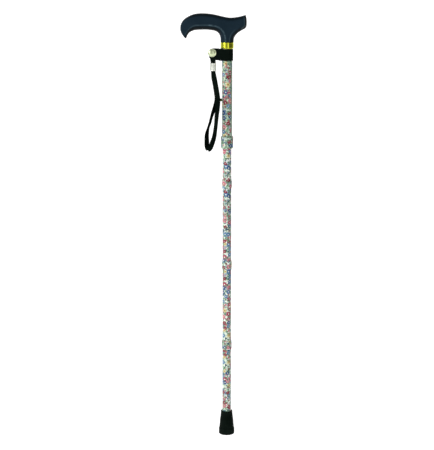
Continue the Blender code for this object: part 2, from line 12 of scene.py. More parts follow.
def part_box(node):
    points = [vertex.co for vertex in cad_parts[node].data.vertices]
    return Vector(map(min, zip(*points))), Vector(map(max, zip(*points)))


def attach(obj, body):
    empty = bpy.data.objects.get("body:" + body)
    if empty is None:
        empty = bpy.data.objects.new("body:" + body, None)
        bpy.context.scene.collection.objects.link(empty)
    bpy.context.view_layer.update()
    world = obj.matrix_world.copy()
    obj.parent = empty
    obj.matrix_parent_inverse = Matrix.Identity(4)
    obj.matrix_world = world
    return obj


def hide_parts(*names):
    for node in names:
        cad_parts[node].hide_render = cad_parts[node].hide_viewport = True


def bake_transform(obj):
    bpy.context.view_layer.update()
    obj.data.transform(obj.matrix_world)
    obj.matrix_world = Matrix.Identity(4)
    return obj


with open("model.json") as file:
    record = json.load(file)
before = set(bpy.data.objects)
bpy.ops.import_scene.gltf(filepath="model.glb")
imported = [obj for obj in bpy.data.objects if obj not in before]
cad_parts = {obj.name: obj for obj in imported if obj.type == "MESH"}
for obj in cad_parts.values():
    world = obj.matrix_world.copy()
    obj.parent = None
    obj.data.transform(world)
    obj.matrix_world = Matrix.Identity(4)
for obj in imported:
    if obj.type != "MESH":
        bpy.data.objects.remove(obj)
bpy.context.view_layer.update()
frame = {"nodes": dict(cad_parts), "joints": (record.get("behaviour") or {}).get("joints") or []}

MM = 0.001
TAU = 2 * math.pi
ROUND = 96              # sides of a visible turned piece
WALL = 1.2 * MM         # tube wall
GAP = 0.3 * MM          # clearance between neighbours that don't touch


# ---- places, from the frame

def radius_of(node):
    low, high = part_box(node)
    return (high.x - low.x) / 2


def middle_of(node):
    return sum(corner.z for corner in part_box(node)) / 2


def joint(name):
    return next(j for j in frame["joints"] if j["name"] == name)


TUBE_R = radius_of("section_tube_2")
UPPER_R = radius_of("upper_tube")
SNAP = Vector(joint("strap_swing")["pos_m"])
BUTTON_Z = middle_of("snap_button")
HOLE_PITCH = joint("height_slide")["range_m"][1] / 2
HOLE_R = 3.3 * MM       # adjustment holes and the button's own hole
CRIMP_LOW, CRIMP_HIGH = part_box("crimp_sleeve")
CRIMP_X = (CRIMP_LOW.x + CRIMP_HIGH.x) / 2
FACING = (math.pi / 2, 0, 0)    # turns a piece's axis to point at the front
NECK_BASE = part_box("brass_collar")[1].z + GAP


# ---- camera

def make_camera():
    """Eye level just above the handle, far back, looking down at the middle of the shaft."""
    data = bpy.data.cameras.new("camera")
    camera = bpy.data.objects.new("camera", data)
    bpy.context.scene.collection.objects.link(camera)
    distance, height, aside = 2.75, 0.985, -0.0215
    pitch = math.radians(10.541)
    camera.location = (aside, -distance, height)
    camera.rotation_euler = (math.pi / 2 - pitch, 0, 0)
    data.lens = 103.095
    data.clip_start = 0.05
    bpy.context.scene.camera = camera


# ---- mesh building

def link_mesh(name, bm):
    """Put a bmesh in the scene as an object."""
    bmesh.ops.recalc_face_normals(bm, faces=bm.faces)
    mesh = bpy.data.meshes.new(name)
    bm.to_mesh(mesh)
    bm.free()
    obj = bpy.data.objects.new(name, mesh)
    bpy.context.scene.collection.objects.link(obj)
    return obj


def smooth(mesh, sharp):
    mesh.shade_smooth()
    mesh.set_sharp_from_angle(angle=math.radians(sharp))


def add_piece(name, bm, material, body, *nodes, place=(0, 0, 0), turn=(0, 0, 0), sharp=40):
    """Finish a bmesh as a smooth piece that rides on a body and stands for CAD nodes.

    A material is named after its slot, give or take a number, and all the floral prints share one.
    """
    obj = link_mesh(name, bm)
    smooth(obj.data, sharp)
    obj.data.materials.append(material)
    obj.location = place
    obj.rotation_euler = turn
    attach(obj, body)
    if nodes:
        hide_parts(*nodes)
    return obj


def skin(bm, rings, closed=False):
    """Join rings of vertices, where a ring of one vertex is a pole."""
    pairs = list(zip(rings, rings[1:]))
    if closed:
        pairs.append((rings[-1], rings[0]))
    for lower, upper in pairs:
        count = max(len(lower), len(upper))
        for i in range(count):
            j = (i + 1) % count
            corners = [lower[i % len(lower)], lower[j % len(lower)],
                       upper[j % len(upper)], upper[i % len(upper)]]
            unique = list(dict.fromkeys(corners))
            if len(unique) > 2:
                bm.faces.new(unique)


def capped(bm, rings):
    """Join rings into a closed strip or rod with flat ends."""
    skin(bm, rings)
    bm.faces.new(rings[0])
    bm.faces.new(rings[-1])


def turned(profile, sides=ROUND, shape=None):
    """A bmesh of (radius, height) points turned about Z. shape may move a point at an angle."""
    bm = bmesh.new()
    rings = []
    for radius, height in profile:
        if radius < 1e-7:
            rings.append([bm.verts.new((0, 0, height))])
            continue
        ring = []
        for i in range(sides):
            a = TAU * i / sides
            r = shape(radius, height, a) if shape else radius
            ring.append(bm.verts.new((r * math.cos(a), r * math.sin(a), height)))
        rings.append(ring)
    skin(bm, rings, closed=profile[0][0] > 1e-7)
    return bm


def arc(centre_r, centre_z, radius, start, stop, steps=6):
    points = []
    for i in range(steps + 1):
        a = math.radians(start + (stop - start) * i / steps)
        points.append((centre_r + radius * math.cos(a), centre_z + radius * math.sin(a)))
    return points


def barrel(inner, outer, bottom, top, edge, steps, middle=()):
    """Section of a hollow cylinder with rolled outer edges, and points of its own between them."""
    return [(inner, bottom), *arc(outer - edge, bottom + edge, edge, -90, 0, steps), *middle,
            *arc(outer - edge, top - edge, edge, 0, 90, steps), (inner, top)]


def smooth_path(points, steps):
    """A Catmull-Rom curve through tuples of any length."""
    padded = [points[0], *points, points[-1]]
    path = []
    for a, b, c, d in zip(padded, padded[1:], padded[2:], padded[3:]):
        for i in range(steps):
            t = i / steps
            path.append(tuple(
                0.5 * (2 * q + (r - p) * t + (2 * p - 5 * q + 4 * r - s) * t * t
                       + (3 * q - p - 3 * r + s) * t ** 3)
                for p, q, r, s in zip(a, b, c, d)))
    path.append(tuple(points[-1]))
    return path


def resample(points, spacing):
    """The same curve with even spacing."""
    p = np.array(points)
    run = np.concatenate([[0], np.cumsum(np.linalg.norm(np.diff(p, axis=0), axis=1))])
    count = max(2, round(run[-1] / spacing) + 1)
    at = np.linspace(0, run[-1], count)
    return np.stack([np.interp(at, run, p[:, k]) for k in range(p.shape[1])], axis=1)


def directions(path):
    """Unit tangents along a path."""
    ahead = np.gradient(path, axis=0)
    return ahead / np.linalg.norm(ahead, axis=1)[:, None]


def squared(value, power):
    """Pull a sine or cosine outwards, which squares off the oval that it draws."""
    return math.copysign(abs(value) ** power, value)


def across_strip(steps):
    """Round a flat strip's section: which side, and the place from edge to edge, -1 to 1."""
    return [(side, side * (1 - 2 * k / steps)) for side in (1, -1) for k in range(steps + 1)]


def edge_roll(inset, width):
    """Height of a rounded edge, from 1 inside it to 0 at its rim."""
    return math.sqrt(max(0.0, 1 - max(0.0, inset / width) ** 2))


def smoothstep(value, low, high):
    t = np.clip((value - low) / (high - low), 0, 1)
    return t * t * (3 - 2 * t)


def pins(heights, radius, x_from, x_to):
    """Cylinders along X, used to drill holes."""
    bm = bmesh.new()
    for z in heights:
        rings = []
        for x in (x_from, x_to):
            rings.append([bm.verts.new((x, radius * math.cos(a), z + radius * math.sin(a)))
                          for a in (TAU * i / 40 for i in range(40))])
        capped(bm, rings)
    return link_mesh("pins", bm)


def stud_hole(piece, radius, reach):
    """Let the press stud's post through a strip."""
    hole = link_mesh("stud_hole", turned([(0, -reach), (radius, -reach), (radius, reach), (0, reach)], 40))
    hole.location = SNAP
    hole.rotation_euler = FACING
    bpy.context.view_layer.update()
    drill(piece, hole)


def drill(piece, tool):
    """Cut a tool out of a piece for good, and put the tool away."""
    world = piece.matrix_world.copy()
    boolean = piece.modifiers.new("drill", "BOOLEAN")
    boolean.object = tool
    boolean.operation = "DIFFERENCE"
    boolean.solver = "EXACT"
    with bpy.context.temp_override(object=piece, active_object=piece, selected_objects=[piece]):
        bpy.ops.object.modifier_apply(modifier=boolean.name)
    piece.matrix_world = world
    bpy.data.objects.remove(tool)
    smooth(piece.data, 40)


# ---- material building

class Nodes:
    """Builds a shader tree node by node."""

    def __init__(self, tree):
        self.tree = tree

    def node(self, kind, inputs=(), **settings):
        """A node whose inputs come in a list, or in a dictionary by name or number."""
        new = self.tree.nodes.new(kind)
        for key, value in settings.items():
            setattr(new, key, value)
        for socket, value in inputs.items() if isinstance(inputs, dict) else enumerate(inputs):
            self.feed(new.inputs[socket], value)
        return new

    def feed(self, socket, value):
        if isinstance(value, bpy.types.NodeSocket):
            self.tree.links.new(value, socket)
        else:
            socket.default_value = value

    def math(self, operation, *values, clamp=False):
        new = self.node("ShaderNodeMath", values, operation=operation)
        new.use_clamp = clamp
        return new.outputs[0]

    def plus(self, a, b):
        return self.math("ADD", a, b)

    def minus(self, a, b):
        return self.math("SUBTRACT", a, b)

    def times(self, a, b):
        return self.math("MULTIPLY", a, b)

    def mix(self, factor, a, b):
        """Two colours mixed. A Mix node's colours are its sockets 6 and 7."""
        a, b = ((*c, 1.0) if isinstance(c, tuple) else c for c in (a, b))
        return self.node("ShaderNodeMix", {0: factor, 6: a, 7: b}, data_type="RGBA").outputs[2]

    def choose(self, factor, a, b):
        """Two numbers mixed. A Mix node's numbers are its sockets 2 and 3."""
        return self.node("ShaderNodeMix", {0: factor, 2: a, 3: b}).outputs[0]

    def ramp(self, value, stops, interpolation="CONSTANT"):
        new = self.node("ShaderNodeValToRGB", [value])
        new.color_ramp.interpolation = interpolation
        elements = new.color_ramp.elements
        while len(elements) < len(stops):
            elements.new(0.5)
        for element, (at, colour) in zip(elements, stops):
            element.position = at
            element.color = (*colour, 1.0)
        return new.outputs[0]

    def parts(self, vector):
        return self.node("ShaderNodeSeparateXYZ", [vector]).outputs


class Finish(Nodes):
    """A Principled material in object coordinates."""

    def __init__(self, name, colour, roughness, metallic=0.0, **constants):
        self.material = bpy.data.materials.new(name)
        self.material.use_nodes = True
        super().__init__(self.material.node_tree)
        self.shader = self.tree.nodes["Principled BSDF"]
        self.put("Base Color", (*colour, 1.0))
        self.put("Roughness", roughness)
        self.put("Metallic", metallic)
        for socket, value in constants.items():
            self.put(socket.replace("_", " "), value)
        self.place = self.node("ShaderNodeTexCoord").outputs["Object"]

    def put(self, socket, value):
        self.feed(self.shader.inputs[socket], value)

    def noise(self, scale, detail=3.0, rough=0.5, vector=None):
        new = self.node("ShaderNodeTexNoise", {
            "Vector": vector or self.place, "Scale": scale, "Detail": detail, "Roughness": rough})
        return new.outputs["Fac"]

    def span(self, value, low, high, to_low=0.0, to_high=1.0):
        return self.node("ShaderNodeMapRange", [value, low, high, to_low, to_high]).outputs[0]

    def stretched(self, x, y, z):
        return self.node("ShaderNodeVectorMath", [self.place, (x, y, z)], operation="MULTIPLY").outputs[0]

    def bump(self, height, depth, strength=1.0):
        new = self.node("ShaderNodeBump", {"Strength": strength, "Distance": depth, "Height": height})
        self.put("Normal", new.outputs[0])


CRIMSON, ROSE, BLUSH = (0.24, 0.008, 0.030), (0.44, 0.060, 0.125), (0.58, 0.26, 0.30)
NAVY, BLUE, SKY = (0.008, 0.026, 0.10), (0.025, 0.095, 0.26), (0.12, 0.25, 0.40)
CREAM, YELLOW, RUST = (0.70, 0.66, 0.42), (0.46, 0.36, 0.11), (0.22, 0.06, 0.02)
WHITE, MINT, LILAC = (0.84, 0.88, 0.80), (0.40, 0.55, 0.42), (0.34, 0.39, 0.50)
SAGE, MOSS = (0.60, 0.69, 0.57), (0.25, 0.37, 0.26)
GREENS_DARK = [(0.0, (0.018, 0.080, 0.045)), (0.35, (0.040, 0.14, 0.070)), (0.60, (0.008, 0.036, 0.030)),
               (0.80, (0.070, 0.19, 0.085))]
GREENS_PALE = [(0.0, (0.12, 0.27, 0.18)), (0.35, (0.07, 0.21, 0.16)), (0.65, (0.21, 0.33, 0.17)),
               (0.85, (0.08, 0.22, 0.22))]
BLOSSOMS = {
    "petal": [(0.0, ROSE), (0.20, CRIMSON), (0.36, BLUE), (0.56, BLUSH), (0.70, SKY), (0.90, CREAM)],
    "throat": [(0.0, CRIMSON), (0.20, (0.12, 0.004, 0.012)), (0.36, NAVY), (0.56, ROSE), (0.70, BLUE),
               (0.90, YELLOW)],
    "heart": [(0.0, WHITE), (0.20, BLUSH), (0.36, WHITE), (0.56, CREAM), (0.70, WHITE), (0.90, RUST)],
}
BUDS = {
    "petal": [(0.0, ROSE), (0.24, BLUE), (0.50, BLUSH), (0.66, CRIMSON), (0.82, NAVY)],
    "throat": [(0.0, CRIMSON), (0.24, NAVY), (0.50, ROSE), (0.66, (0.12, 0.004, 0.012)), (0.82, NAVY)],
    "heart": [(0.0, CREAM), (0.24, WHITE), (0.50, YELLOW), (0.66, BLUSH), (0.82, SKY)],
}


class Print(Finish):
    """A small all-over flower print. Lengths are in millimetres, round the shaft and along it."""

    def __init__(self, name, seed, light=WHITE, dark=MINT, sparse=0.15, seam=False):
        super().__init__(name, light, 0.3, Coat_Weight=0.25, Coat_Roughness=0.18, Specular_IOR_Level=0.3)
        x, y, z = self.parts(self.stretched(1000, 1000, 1000))
        turn = self.math("ARCTAN2", x, self.times(y, -1.0))
        radius = self.math("SQRT", self.plus(self.times(x, x), self.times(y, y)))
        self.round = self.times(turn, radius)
        self.up = self.plus(z, seed)
        patches = self.noise(0.11, 2, vector=self.flat(300))
        colour = self.mix(self.span(patches, 0.46, 0.58), light, dark)
        colour = self.mix(self.span(self.noise(0.09, 2, vector=self.flat(500)), 0.54, 0.64), colour, LILAC)
        colour = self.leaves(colour, 5.4, 2.7, 1.1, 11, GREENS_PALE, 0.20)
        colour = self.stems(colour, 8.0)
        colour = self.leaves(colour, 6.2, 3.6, 1.6, 23, GREENS_DARK, 0.10, self.span(patches, 0.40, 0.47))
        colour = self.flowers(colour, 6.6, 2.5, 37, BUDS, 0.20 + sparse)
        colour = self.flowers(colour, 11.0, 5.6, 51, BLOSSOMS, sparse)
        colour = self.leaves(colour, 8.5, 3.6, 1.35, 73, GREENS_DARK, 0.35)
        # painted shade: a darker green band down the right side of the upper tube
        if seam:
            off = self.math("ABSOLUTE", self.minus(turn, math.radians(63)))
            shade_band = self.edge(self.minus(math.radians(19), off), math.radians(2))
            colour = self.mix(self.times(shade_band, 0.62), colour, (0.17, 0.26, 0.18))
        self.put("Base Color", colour)
        self.put("Roughness", self.span(self.noise(160, 4), 0.3, 0.7, 0.26, 0.40))
        self.bump(self.noise(900, 2), 0.00002, 0.25)

    def flat(self, seed):
        """A point of the unrolled print."""
        up = self.plus(self.up, seed)
        return self.node("ShaderNodeCombineXYZ", [self.round, up, 0.0]).outputs[0]

    def cells(self, size, seed):
        """Offset from the nearest of a scatter of centres, and three chances for that centre."""
        point = self.flat(seed * 131.0)
        scatter = self.node("ShaderNodeTexVoronoi", {"Vector": point, "Scale": 1 / size, "Randomness": 0.85},
                            voronoi_dimensions="2D", feature="F1").outputs
        gap = self.node("ShaderNodeVectorMath", [point, scatter["Position"]], operation="SUBTRACT")
        across, along, _ = self.parts(gap.outputs[0])
        return across, along, self.node("ShaderNodeSeparateColor", [scatter["Color"]]).outputs

    def edge(self, amount, softness):
        """1 inside, 0 outside, where amount is the distance inside an edge."""
        return self.math("ADD", self.times(amount, 1 / softness), 0.5, clamp=True)

    def flowers(self, under, size, radius, seed, palette, missing):
        """Five-petalled flowers with a veined throat, a dark outline and a bright heart."""
        across, along, chance = self.cells(size, seed)
        square = self.plus(self.times(across, across), self.times(along, along))
        reach = self.math("SQRT", square)
        angle = self.plus(self.math("ARCTAN2", along, across), self.times(chance[0], TAU))
        lobe = self.math("ABSOLUTE", self.math("COSINE", self.times(angle, 2.5)))
        grown = self.span(chance[2], 0.0, 1.0, radius * 0.70, radius * 1.15)
        rim = self.times(grown, self.span(self.math("SQRT", lobe), 0.0, 1.0, 0.52, 1.0))
        within = self.minus(rim, reach)
        inside = self.edge(within, 0.25)
        inside = self.times(inside, self.math("GREATER_THAN", chance[0], missing))
        share = self.math("DIVIDE", reach, grown, clamp=True)
        petal, throat, heart = (self.ramp(chance[1], palette[k]) for k in ("petal", "throat", "heart"))
        tone = self.mix(self.span(share, 0.22, 0.80), throat, petal)
        veins = self.math("ABSOLUTE", self.math("SINE", self.times(angle, 12.5)))
        tone = self.mix(self.times(self.math("POWER", veins, 6.0), 0.30), tone, throat)
        fold = self.math("POWER", self.minus(1.0, lobe), 3.0)
        tone = self.mix(self.times(fold, 0.8), tone, throat)
        line = self.minus(1.0, self.edge(self.minus(within, 0.3), 0.3))
        tone = self.mix(self.times(line, 0.45), tone, throat)
        middle = self.edge(self.minus(self.times(grown, 0.22), reach), 0.25)
        tone = self.mix(middle, tone, heart)
        return self.mix(inside, under, tone)

    def leaves(self, under, size, length, width, seed, greens, missing, among=1.0):
        """Pointed leaves with a pale rib and one lighter half, where among is 1."""
        across, along, chance = self.cells(size, seed)
        angle = self.times(chance[0], TAU)
        sine, cosine = self.math("SINE", angle), self.math("COSINE", angle)
        down = self.plus(self.times(across, cosine), self.times(along, sine))
        side = self.minus(self.times(along, cosine), self.times(across, sine))
        share = self.math("DIVIDE", down, length)
        half = self.times(self.minus(1.0, self.times(share, share)), width)
        off = self.math("ABSOLUTE", side)
        inside = self.edge(self.minus(half, off), 0.22)
        inside = self.times(self.times(inside, self.math("GREATER_THAN", chance[2], missing)), among)
        lit, rib = self.math("GREATER_THAN", side, 0.0), self.math("LESS_THAN", off, 0.12)
        green = self.mix(self.times(lit, 0.30), self.ramp(chance[1], greens), (0.34, 0.46, 0.30))
        green = self.mix(self.times(rib, 0.5), green, (0.42, 0.52, 0.36))
        return self.mix(inside, under, green)

    def stems(self, under, size):
        """Thin green tendrils between the flowers."""
        edges = self.node("ShaderNodeTexVoronoi", {"Vector": self.flat(977.0), "Scale": 1 / size},
                          voronoi_dimensions="2D", feature="DISTANCE_TO_EDGE")
        line = self.math("LESS_THAN", edges.outputs["Distance"], 0.03)
        return self.mix(self.times(line, 0.8), under, (0.12, 0.25, 0.15))


def moulded(name, colour, roughness, grain, depth, **constants):
    """Moulded plastic or rubber with a fine cast texture and slight unevenness."""
    f = Finish(name, colour, roughness, **constants)
    lighter = tuple(min(1.0, c * 1.5 + 0.003) for c in colour)
    f.put("Base Color", f.mix(f.span(f.noise(35, 4), 0.35, 0.7), colour, lighter))
    f.put("Roughness", f.span(f.noise(110, 5), 0.3, 0.7, roughness - 0.06, roughness + 0.07))
    f.bump(f.noise(grain, 3, 0.6), depth)
    return f.material


def handle_finish():
    """Satin navy moulding with painted shade on the faces that tip down, to the right and up, and a painted
    highlight along the edge of the grip.
    """
    f = Finish("charcoal_moulding", (0.010, 0.020, 0.030), 0.42, IOR=1.20, Specular_IOR_Level=0.2)
    face = f.mix(f.span(f.noise(28, 4), 0.35, 0.7), (0.0066, 0.0160, 0.0250), (0.0092, 0.0205, 0.0315))
    normal = f.node("ShaderNodeNewGeometry").outputs["Normal"]
    aside, _, tilt = f.parts(normal)
    # painted shade: faces that tip downwards or upwards are darkened in the colour itself
    shade_below = f.span(tilt, -0.25, -0.75)
    shade_above = f.span(tilt, 0.35, 0.9)
    colour = f.mix(f.times(shade_below, 0.92), face, (0.0010, 0.0024, 0.0024))
    # painted shade on the faces that turn to the right
    colour = f.mix(f.times(f.span(aside, 0.30, 0.75), 0.75), colour, (0.0012, 0.0028, 0.0030))
    colour = f.mix(f.times(shade_above, 0.80), colour, (0.0016, 0.0045, 0.0055))
    # painted highlight: a paler line along the rolled edge of the grip, read from the mesh
    painted_highlight = f.node("ShaderNodeAttribute", attribute_name="painted_highlight").outputs["Fac"]
    paler = f.times(painted_highlight, f.span(f.noise(160, 4), 0.25, 0.75, 0.35, 1.0))
    f.put("Base Color", f.mix(paler, colour, (0.095, 0.150, 0.175)))
    f.put("Roughness", f.minus(f.span(f.noise(120, 5), 0.3, 0.7, 0.36, 0.50), f.times(painted_highlight, 0.12)))
    f.bump(f.noise(1600, 3, 0.6), 0.00002)
    return f.material


def metal(name, colour, roughness, stretch, depth=0.00001, tarnish=0.25):
    """Turned or drawn metal. stretch squeezes the grain along one axis."""
    f = Finish(name, colour, roughness, 1.0)
    dull = tuple(c * (1 - tarnish) for c in colour)
    f.put("Base Color", f.mix(f.span(f.noise(120, 4), 0.45, 0.75), colour, dull))
    grain = f.noise(60, 4, 0.7, f.stretched(*stretch))
    f.put("Roughness", f.span(grain, 0.3, 0.7, max(0.04, roughness - 0.05), roughness + 0.08))
    f.bump(grain, depth, 0.5)
    return f.material


def cloth(name, colour, thread, depth, **constants):
    """Yarn: fine fibre shading over a weave that is already in the mesh."""
    f = Finish(name, colour, 0.85, **constants)
    fibre = f.noise(thread, 5, 0.75)
    paler = tuple(c * 2.0 + 0.004 for c in colour)
    f.put("Base Color", f.mix(f.span(fibre, 0.45, 0.8), colour, paler))
    f.put("Roughness", f.span(fibre, 0.2, 0.8, 0.74, 0.95))
    f.bump(fibre, depth)
    return f.material


tube_prints = [Print(f"floral_print_{i}", 61.0 * i + 17).material for i in range(4)]
sleeve_prints = [Print(f"floral_print_{i}", 61.0 * i + 17).material for i in (6, 7, 8)]
upper_print = Print("floral_print_upper", 261.0, SAGE, MOSS, seam=True).material
collar_print = Print("floral_print_collar", 322.0, SAGE, MOSS, 0.45).material
MATTE = {"IOR": 1.20, "Specular_IOR_Level": 0.12}      # black goods that hardly shine
charcoal = handle_finish()
brass = metal("polished_brass", (0.66, 0.68, 0.045), 0.10, (1, 1, 12), tarnish=0.12)
pale_brass = metal("pale_brass", (0.62, 0.69, 0.44), 0.30, (1, 1, 1))
dark_brass = metal("dark_brass", (0.070, 0.088, 0.018), 0.34, (1, 1, 1))
chrome = metal("bright_nickel", (0.80, 0.82, 0.74), 0.22, (1, 1, 10))
steel = metal("spring_steel", (0.50, 0.51, 0.53), 0.28, (1, 1, 8))
aluminium = metal("bare_aluminium", (0.46, 0.47, 0.49), 0.32, (1, 1, 14))
rubber = moulded("black_rubber", (0.0016, 0.0042, 0.0028), 0.58, 900, 0.00008, **MATTE)
nylon = moulded("black_nylon", (0.020, 0.020, 0.022), 0.42, 1200, 0.00003)
webbing = cloth("black_webbing", (0.0020, 0.0046, 0.0032), 2600, 0.00006, **MATTE)
elastic = cloth("white_elastic", (0.55, 0.54, 0.50), 2600, 0.00006, Sheen_Weight=0.2)


# ---- wrist strap

STRAP_WIDTH = 10.6 * MM
STRAP_THICKNESS = 1.8 * MM
STRAP_STEP = 0.5 * MM
HERRINGBONE = 2.2       # length of one repeat of the braid, in millimetres
# x, y from the snap's plane and z in millimetres, then the twist in degrees (0 shows the flat side)
STRAP_ROUTE = [
    (-29.2, -2.1, 811.0, 0), (-29.2, -2.2, 806.5, 0), (-27.2, -2.6, 792.0, 0), (-23.8, -2.7, 774.0, 0),
    (-20.0, -2.7, 750.0, 4), (-19.9, -2.8, 736.0, 12), (-21.0, -3.0, 723.0, 22), (-22.4, -3.2, 710.0, 32),
    (-23.6, -3.3, 695.0, 40), (-25.4, -3.2, 680.0, 38), (-27.5, -2.8, 667.0, 28), (-31.4, -2.0, 654.5, 14),
    (-35.6, -0.8, 643.6, 4), (-40.0, 0.4, 640.0, 0), (-42.8, 1.4, 646.5, 4), (-43.3, 2.2, 658.0, 20),
    (-43.2, 2.8, 671.0, 34), (-40.4, 3.2, 684.5, 58), (-36.6, 3.2, 696.0, 58), (-33.2, 3.0, 709.0, 54),
    (-29.0, 2.8, 722.0, 42), (-24.0, 2.7, 736.0, 24), (-21.6, 2.7, 750.0, 8), (-24.8, 2.7, 774.0, 0),
    (-28.2, 2.6, 792.0, 0), (-29.8, 2.2, 806.5, 0), (-29.8, 2.1, 811.0, 0),
]


def make_wrist_strap():
    """A flat herringbone braid: down one ply, over the fold at the bottom and up the other."""
    route = [(x * MM, SNAP.y + y * MM, z * MM, math.radians(twist)) for x, y, z, twist in STRAP_ROUTE]
    fine = resample(smooth_path(route, 12), STRAP_STEP)
    line, twist = fine[:, :3], fine[:, 3]
    along = directions(line)
    in_plane = np.cross(np.array([0.0, 1.0, 0.0]), along)
    in_plane /= np.linalg.norm(in_plane, axis=1)[:, None]
    depthwise = np.cross(along, in_plane)
    turn_rate = np.linalg.norm(np.gradient(along, STRAP_STEP, axis=0), axis=1)
    around = 36
    bm = bmesh.new()
    rings = []
    for i, point in enumerate(line):
        across = in_plane[i] * math.cos(twist[i]) + depthwise[i] * math.sin(twist[i])
        out = depthwise[i] * math.cos(twist[i]) - in_plane[i] * math.sin(twist[i])
        to_end = min(i, len(line) - 1 - i) * STRAP_STEP
        half = STRAP_WIDTH / 2 * (0.86 + 0.14 * smoothstep(to_end, 4 * MM, 22 * MM))
        bend_room = 0.92 / max(turn_rate[i], 1.0)
        ring = []
        for k in range(around):
            a = TAU * k / around
            u, v = squared(math.cos(a), 0.75), squared(math.sin(a), 0.75)
            weave = abs(math.sin(math.pi * (i * STRAP_STEP / MM / HERRINGBONE + abs(u) * 2.4)))
            rib = 0.78 + 0.22 * weave - 0.16 * math.exp(-(u / 0.06) ** 2)
            side = max(-bend_room, min(bend_room, u * half * (1 + 0.012 * math.sin(i * 1.43))))
            ring.append(bm.verts.new(point + across * side + out * v * rib * STRAP_THICKNESS / 2))
        rings.append(ring)
    capped(bm, rings)
    strap = add_piece("wrist_strap_braid", bm, webbing, "wrist_strap", "wrist_strap")


# ---- keeper band, tab and snap

BAND_T = 1.3 * MM
BAND_STEP = 0.7 * MM
RIM = 0.15              # share of a strip's thickness that is left at its rims
FLAPS = (SNAP.y - 2.8 * MM, SNAP.y + 2.8 * MM)      # middle of the front flap and of the back flap


def band_path():
    """The strip's middle line seen from above: front flap, round the tube, back flap."""
    low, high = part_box("keeper_band")
    radius = high.x - BAND_T / 2 - 0.05 * MM
    root, end = -22 * MM, low.x + 0.1 * MM
    start, stop = (math.atan2(y, root) + side * math.acos(radius / math.hypot(root, y))
                   for y, side in zip(FLAPS, (1, -1)))
    while stop < start:
        stop += TAU
    wrap = [(radius * math.cos(a), radius * math.sin(a)) for a in np.linspace(start, stop, 90)]
    front = [(x, FLAPS[0]) for x in np.linspace(end, root, 20)]
    back = [(x, FLAPS[1]) for x in np.linspace(root, end, 20)]
    return resample(front + wrap + back, BAND_STEP), end


def make_keeper_band():
    """Ribbed elastic webbing, a little lower on the tube than at the snap."""
    path, end = band_path()
    low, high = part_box("keeper_band")
    middle, half_height = (low.z + high.z) / 2, (high.z - low.z) / 2
    ahead = directions(path)
    ribs, edge = 20, 0.45 * MM
    full_at, end_half = SNAP.x + 4 * MM, 4 * MM     # the strip's end is rounded left of here
    bm = bmesh.new()
    rings = []
    for i, (x, y) in enumerate(path):
        outward = Vector((ahead[i][1], -ahead[i][0], 0))
        share = min(max(0.0, full_at - x) / (full_at - end), 1.0)
        drop = 1 - math.sqrt(1 - (0.93 * share) ** 2)
        half = half_height - drop * (half_height - end_half)
        sag = 1.6 * MM - 1.9 * MM * float(smoothstep(x, -24 * MM, -8 * MM))
        ripple = 0.25 * MM * math.sin(i * 0.35) * float(smoothstep(x, -24 * MM, -14 * MM))
        centre = Vector((x, y, middle + sag + ripple))
        ring = []
        for side, v in across_strip(ribs * 4):
            rib = 0.10 * MM * math.cos(TAU * ribs * v / 2)
            weft = 0.05 * MM * math.cos(i * math.pi + TAU * ribs * v / 4)
            curl = edge_roll(abs(v) * half - (half - edge), edge)
            depth = side * ((BAND_T / 2 - 0.12 * MM) * max(curl, RIM) + (rib + weft) * curl)
            ring.append(bm.verts.new(centre + outward * depth + Vector((0, 0, v * half))))
        rings.append(ring)
    capped(bm, rings)
    band = add_piece("keeper_band_webbing", bm, webbing, "keeper_band", "keeper_band", sharp=60)
    stud_hole(band, 2.3 * MM, 8 * MM)
    make_band_stitches()


def make_band_stitches():
    """A row of thread down each flap, where the strip's end is turned in."""
    count, pitch = 9, 2.2 * MM
    bm = bmesh.new()
    for y, front in zip(FLAPS, (-1, 1)):
        for k in range(count):
            z = SNAP.z - 3.7 * MM + (k - count // 2) * pitch
            for x in (-21.4 * MM, -19.8 * MM):
                stitch = bmesh.ops.create_uvsphere(bm, u_segments=10, v_segments=6, radius=1.0)
                for v in stitch["verts"]:
                    v.co = Vector((x + v.co.x * 0.22 * MM, y + front * 0.66 * MM + v.co.y * 0.16 * MM,
                                   z + v.co.z * 0.85 * MM))
    return add_piece("band_stitches", bm, webbing, "keeper_band")


def make_strap_tab():
    """Folded webbing between the snap and the crimp, with ribs along it and rolled edges."""
    low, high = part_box("strap_tab")
    half = 6 * MM
    top, bottom = high.z - SNAP.z, low.z - SNAP.z
    lean = CRIMP_X - SNAP.x
    bm = bmesh.new()
    rings = []
    rows = 64
    for i in range(rows + 1):
        t = i / rows
        z = top + (bottom - top) * t
        width = math.sqrt(max(0.0, half ** 2 - max(0.0, z) ** 2)) if z > 0 else half
        width = max(width, 0.6 * MM) * (1 - 0.10 * float(smoothstep(-z, 4 * MM, -bottom)))
        shift = lean * float(smoothstep(-z, 0, -bottom))
        ring = []
        for side, u in across_strip(36):
            rib = 0.09 * MM * math.cos(TAU * 6 * u) * (1 if i % 2 else 0.4)
            curl = edge_roll(abs(u) - 0.92, 0.08)
            depth = side * (0.68 * MM * max(curl, RIM) + rib * curl)
            ring.append(bm.verts.new((shift + u * width, -depth, z)))
        rings.append(ring)
    capped(bm, rings)
    tab = add_piece("strap_tab_webbing", bm, webbing, "wrist_strap", "strap_tab", place=SNAP, sharp=60)
    stud_hole(tab, 2.4 * MM, 3 * MM)


